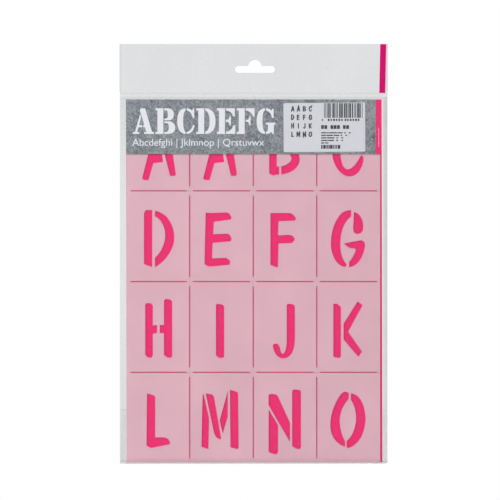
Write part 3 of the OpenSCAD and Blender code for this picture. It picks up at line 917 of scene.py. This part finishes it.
class STENCIL_OT_sticker(bpy.types.Operator):
    """Makes the sticker's paper and its print: small letters, bars and plain lines"""

    bl_idname = "stencil.sticker"
    bl_label = "Sticker"

    def execute(self, context):
        sticker = settings("sticker")
        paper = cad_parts["label_sticker"].data
        paper.materials.clear()
        paper.materials.append(label_paper())
        ink = print_ink("sticker_ink", sticker.ink, 0.08)
        front = STICKER_LOW.y - INK_T

        middle = (SHEET_LOW + SHEET_HIGH) / 2
        spot = Vector((STICKER_LOW.x + sticker.mini_x, 0, STICKER_HIGH.z - sticker.mini_z))
        loops = []
        for name in PLATES:
            plate_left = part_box(name)[0].x
            for loop in front_loops(name):
                if min(x for x, z in loop) > plate_left + MM:
                    loops.append([(spot.x + (x - middle.x) * sticker.mini_scale,
                                   spot.z + (z - middle.z) * sticker.mini_scale) for x, z in loop])
        letters = [flat_shape("sticker_letters", [loop], front, INK_T, sticker.bolder)
                   for loop in loops]
        deselect()
        for letter in letters:
            letter.select_set(True)
        bpy.ops.object.join()
        dress(bpy.context.object, "insert", "sticker_paper", ink)

        left = STICKER_LOW.x + BARS_LEFT
        top = STICKER_HIGH.z - BARS_TOP
        units = [1 + (index * 7 % 11 * (index % 5 + 2) + 1 - index % 2) % 4
                 for index in range(2 * sticker.bars - 1)]
        unit = BARS_W / sum(units)
        blocks = []
        start = left
        for index, width in enumerate(units):
            if index % 2 == 0:
                blocks.append(block(start, start + width * unit, top - BARS_H, top))
            start += width * unit
        for drop, height, runs in STICKER_ROWS:
            for offset, width in runs:
                row_top = top - drop * MM
                blocks.append(block(left + offset * MM, left + (offset + width) * MM,
                                    row_top - height * MM, row_top))
        dress(flat_shape("sticker_marks", blocks, front, INK_T), "insert", "sticker_paper", ink)
        return {"FINISHED"}


class STENCIL_OT_pocket(bpy.types.Operator):
    """Models the two films of the pocket, closing over the contents with soft ripples"""

    bl_idname = "stencil.pocket"
    bl_label = "Pocket films"

    def execute(self, context):
        bag = settings("bag")
        # The back film carries the painted shade on its margins
        sides = (
            ("pocket_front", "bag_front_film", -1, bag.front_tint, 0.008, 0.0),
            ("pocket_back", "bag_back_film", 1, bag.back_tint, 0.03, bag.painted_margin_shade),
        )
        for name, node, facing, tint, haze, painted_margin_shade in sides:
            low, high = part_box(node)
            depth = -low.y if facing < 0 else high.y
            film = upright_grid(name, low, high, 0, *POCKET_CELLS, facing)
            for vert in film.data.vertices:
                x, z = vert.co.x, vert.co.z
                rise = bag.ripple * ripple_at(x, z, facing) * edge_share(x, z, low, high)
                if facing > 0:
                    rise *= ease((z - FLAP_HIGH.z) / CALM_OVER_FLAP)
                vert.co.y = facing * (pocket_depth(x, z, depth) + rise)
            thicken(film, bag.film_t)
            smooth(film)
            material = clear_film(name + "_film", tint, haze, painted_margin_shade=painted_margin_shade)
            dress(film, "bag", "bag_film", material, node)
        return {"FINISHED"}


class STENCIL_OT_edges(bpy.types.Operator):
    """Models the melted side edges and the ribbed seal under the header"""

    bl_idname = "stencil.edges"
    bl_label = "Welds and seal"

    def execute(self, context):
        bag = settings("bag")
        tint = [c * 0.98 for c in bag.back_tint]
        # The welds carry a weaker painted shade, as the back film's margins do
        fused = clear_film("fused_film", tint, 0.1, fine=0.2, roughness=0.18, painted_margin_shade=bag.painted_margin_shade * 0.6)
        welds = copy_of("side_welds", "weld_edges")
        slice_along(welds, 2, WELD_LOW, WELD_HIGH, 90)
        middle_x = (WELD_LOW.x + WELD_HIGH.x) / 2
        for vert in welds.data.vertices:
            out = 1 if vert.co.x > middle_x else -1
            reach = abs(vert.co.x - middle_x) - (WELD_HIGH.x - WELD_LOW.x) / 2 + WELD_RIM
            uneven = noise.noise(Vector((out, 0, vert.co.z * 240)))
            vert.co.x += out * WELD_WANDER * uneven * max(0, reach / WELD_RIM)
            vert.co.y *= 1 + 0.25 * noise.noise(Vector((out, 3, vert.co.z * 400)))
        smooth(welds)
        dress(welds, "bag", "bag_weld", fused, "side_welds")

        seal = copy_of("header_seal", "seal_band")
        slice_along(seal, 0, SEAL_LOW, SEAL_HIGH, 150)
        for vert in seal.data.vertices:
            vert.co.y *= 1 + 0.3 * noise.noise(Vector((vert.co.x * 700, 0, vert.co.z * 90)))
        smooth(seal)
        darker = [c * 0.98 for c in tint]
        pressed = clear_film("seal_film", darker, 0.1, fine=0.2, roughness=0.18,
                             line=SEAL_HIGH.z - 1.2 * MM)
        dress(seal, "bag", "bag_weld", pressed, "header_seal")
        return {"FINISHED"}


def header_wave(x, z):
    """How far the header film leaves its plane, still at the seal and softly wavy above."""
    free = ease((z - HEADER_LOW.z) / CALM_OVER_SEAL)
    return HEADER_WAVE * free * noise.noise(Vector((x * 16, z * 8, 3)))


class STENCIL_OT_header(bpy.types.Operator):
    """Models the header with its hang slot and its printed stripe"""

    bl_idname = "stencil.header"
    bl_label = "Header"

    def execute(self, context):
        bag = settings("bag")
        header = upright_grid("header_film", HEADER_LOW, HEADER_HIGH, HEADER_LOW.y, 150, 30)
        thicken(header, HEADER_HIGH.y - HEADER_LOW.y)
        slot = max(front_loops("hang_header"), key=len)
        cutter = flat_shape("slot_cutter", [slot], -CUTTER_D / 2, CUTTER_D)
        apply_modifier(header, "BOOLEAN", object=cutter, operation="DIFFERENCE", solver="EXACT")
        bpy.data.objects.remove(cutter)
        for vert in header.data.vertices:
            vert.co.y += header_wave(vert.co.x, vert.co.z)
        smooth(header)
        film = clear_film("header_film", bag.header_tint, 0.06,
                          sides=(HEADER_HIGH.x - HEADER_LOW.x) / 2 - 1.1 * MM)
        dress(header, "bag", "header_film", film, "hang_header")

        low = Vector((HEADER_HIGH.x - bag.stripe_inset - bag.stripe_w, 0, SEAL_HIGH.z - 0.9 * MM))
        high = Vector((HEADER_HIGH.x - bag.stripe_inset, 0, HEADER_HIGH.z))
        stripe = upright_grid("header_stripe", low, high, HEADER_LOW.y - INK_T, 6, 40)
        for vert in stripe.data.vertices:
            vert.co.y += header_wave(vert.co.x, vert.co.z)
            vert.co.x -= bag.stripe_lean * (high.z - vert.co.z) / (high.z - low.z)
        thicken(stripe, INK_T)
        dress(stripe, "bag", "header_film", print_ink("stripe_ink", bag.stripe, 0.03))
        return {"FINISHED"}


def flap_rise(x, z):
    """How far the flap stands out behind: flat at the glue, with its free edge lifting a little."""
    ripple = FLAP_RIPPLE * ripple_at(x, z, 9)
    below = ease((STRIP_LOW.z - z) / FLAP_RIM) * ease((z - FLAP_LOW.z) / FLAP_RIM)
    lift = FLAP_LIFT * ease((z - STRIP_HIGH.z) / (FLAP_HIGH.z - STRIP_HIGH.z))
    return ripple * below + lift * (0.7 + 0.5 * noise.noise(Vector((x * 25, 0, 2))))


class STENCIL_OT_flap(bpy.types.Operator):
    """Models the fold at the foot, the closing flap and its strip of glue"""

    bl_idname = "stencil.flap"
    bl_label = "Foot and flap"

    def execute(self, context):
        bag = settings("bag")
        film = clear_film("flap_film", bag.front_tint, 0.01, line=FLAP_HIGH.z - 0.5 * MM)
        flap = copy_of("closure_flap", "flap_film")
        slice_along(flap, 0, FLAP_LOW, FLAP_HIGH, 90)
        slice_along(flap, 2, FLAP_LOW, FLAP_HIGH, 24)
        for vert in flap.data.vertices:
            vert.co.y += flap_rise(vert.co.x, vert.co.z)
        smooth(flap)
        dress(flap, "flap", "bag_film", film, "closure_flap")

        strip = upright_grid("glue_strip", STRIP_LOW, STRIP_HIGH, STRIP_LOW.y, 90, 6)
        for vert in strip.data.vertices:
            end = min(vert.co.x - STRIP_LOW.x, STRIP_HIGH.x - vert.co.x)
            if end < MERGE:
                vert.co.x += 0.6 * MM * abs(noise.noise(Vector((vert.co.x, 1, vert.co.z * 500))))
        thicken(strip, STRIP_HIGH.y - STRIP_LOW.y)
        glue = clear_film("adhesive_film", (0.988, 0.987, 0.98), 0.018, fine=0.15, roughness=0.25)
        dress(strip, "flap", "adhesive", glue, "adhesive_strip")

        creased = clear_film("creased_film", [c * 1.02 for c in bag.back_tint], 0.08, fine=0.2,
                             roughness=0.15)
        fold = copy_of("bag_bottom_fold", "foot_fold")
        slice_along(fold, 0, FOLD_LOW, FOLD_HIGH, 60)
        smooth(fold)
        fold.data.materials.clear()
        fold.data.materials.append(creased)
        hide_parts("bag_bottom_fold")
        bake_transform(fold)
        return {"FINISHED"}


# The floor's radius in metres, and where it starts and ends to turn into the white around it
FLOOR_R = 1.6
FADE_START = 0.5
FADE_END = 1.4


def add_lamp(name, place, aim, size, power):
    """A square soft lamp that looks at aim."""
    data = bpy.data.lights.new(name, "AREA")
    data.size = size
    data.energy = power
    lamp = bpy.data.objects.new(name, data)
    bpy.context.collection.objects.link(lamp)
    lamp.location = place
    lamp.rotation_euler = (aim - Vector(place)).to_track_quat("-Z", "Y").to_euler()


def seen_directly(nodes, links):
    """1 for the rays that show the backdrop: straight to the eye, mirrored or through glass."""
    path = nodes.new("ShaderNodeLightPath")
    total = path.outputs["Is Camera Ray"]
    for name in ("Is Glossy Ray", "Is Transmission Ray"):
        step = nodes.new("ShaderNodeMath")
        step.operation = "MAXIMUM"
        links.new(total, step.inputs[0])
        links.new(path.outputs[name], step.inputs[1])
        total = step.outputs[0]
    return total


class STENCIL_OT_stage(bpy.types.Operator):
    """Sets up the camera, the lamps, the white backdrop and the floor"""

    bl_idname = "stencil.stage"
    bl_label = "Stage"

    def execute(self, context):
        stage = settings("stage")
        scene = context.scene
        middle = (cad_low + cad_high) / 2
        data = bpy.data.cameras.new("camera")
        data.lens = data.sensor_width * stage.distance / stage.view_w
        camera = bpy.data.objects.new("camera", data)
        scene.collection.objects.link(camera)
        camera.location = (middle.x + stage.view_x, -stage.distance, middle.z + stage.view_z)
        camera.rotation_euler = (math.radians(90), 0, 0)
        scene.camera = camera
        scene.view_settings.view_transform = "Standard"
        scene.cycles.transparent_max_bounces = stage.see_through

        add_lamp("key_lamp", (-2.75, -1.3, 1.3), middle, 1.0, 129)
        add_lamp("fill_lamp", (0.9, -1.2, 1.3), middle, 0.8, 15)
        add_lamp("back_lamp", (0.8, 2.4, 1.0), middle, 1.6, 46)

        world = bpy.data.worlds.new("white_world")
        scene.world = world
        world.use_nodes = True
        nodes, links = world.node_tree.nodes, world.node_tree.links
        background = nodes["Background"]
        background.inputs["Color"].default_value = (1, 1, 1, 1)
        level = nodes.new("ShaderNodeMapRange")
        links.new(seen_directly(nodes, links), level.inputs["Value"])
        level.inputs["To Min"].default_value = stage.ambient
        level.inputs["To Max"].default_value = 1
        links.new(level.outputs["Result"], background.inputs["Strength"])

        deselect()
        bpy.ops.mesh.primitive_circle_add(
            vertices=96, radius=FLOOR_R, fill_type="NGON",
            location=(middle.x, 0, cad_low.z - stage.floor_drop))
        floor = context.object
        floor.name = "floor"
        bpy.ops.object.transform_apply(location=True)
        material, add, show = new_material("pale_floor")
        place = add("TexCoord").outputs["Object"]
        far = add("VectorMath", {"operation": "LENGTH"}, _0=add(
            "VectorMath", {"operation": "MULTIPLY"}, _0=place, _1=(1, 1, 0)).outputs[0])
        fade = ramp(add, far.outputs["Value"], FADE_START, FADE_END)
        tree = material.node_tree
        shown = calculate(add, "MULTIPLY", fade, seen_directly(tree.nodes, tree.links))
        pale = add("BsdfDiffuse", Color=(0.86, 0.86, 0.86, 1))
        white = add("Emission", Color=(1, 1, 1, 1), Strength=1.0)
        show(add("MixShader", _0=shown, _1=pale.outputs[0], _2=white.outputs[0]).outputs[0])
        floor.data.materials.append(material)
        return {"FINISHED"}


class STENCIL_PT_panel(bpy.types.Panel):
    """Lists the steps and their settings."""

    bl_label = "Lettering stencil"
    bl_idname = "STENCIL_PT_panel"
    bl_space_type = "VIEW_3D"
    bl_region_type = "UI"
    bl_category = "Stencil"

    def draw(self, context):
        for operator in OPERATORS:
            self.layout.operator(operator.bl_idname)
        for name in SETTINGS:
            box = self.layout.box()
            box.label(text=name.title())
            group = settings(name)
            for key in group.__annotations__:
                box.prop(group, key)


SETTINGS = {
    "sheet": SheetSettings,
    "card": CardSettings,
    "sticker": StickerSettings,
    "bag": BagSettings,
    "stage": StageSettings,
}
OPERATORS = [
    STENCIL_OT_sheet, STENCIL_OT_card, STENCIL_OT_title, STENCIL_OT_sticker, STENCIL_OT_pocket,
    STENCIL_OT_edges, STENCIL_OT_header, STENCIL_OT_flap, STENCIL_OT_stage,
]


def register():
    """Registers the settings, the steps and the panel."""
    for name, group in SETTINGS.items():
        bpy.utils.register_class(group)
        setattr(bpy.types.Scene, "stencil_" + name, PointerProperty(type=group))
    for item in (*OPERATORS, STENCIL_PT_panel):
        bpy.utils.register_class(item)


def unregister():
    """Takes them away again, in the opposite order."""
    for item in (STENCIL_PT_panel, *reversed(OPERATORS)):
        bpy.utils.unregister_class(item)
    for name, group in reversed(SETTINGS.items()):
        delattr(bpy.types.Scene, "stencil_" + name)
        bpy.utils.unregister_class(group)


def main():
    """Builds the looks around the frame."""
    register()
    for operator in OPERATORS:
        getattr(bpy.ops.stencil, operator.bl_idname.split(".")[1])()


if __name__ == "__main__":
    main()
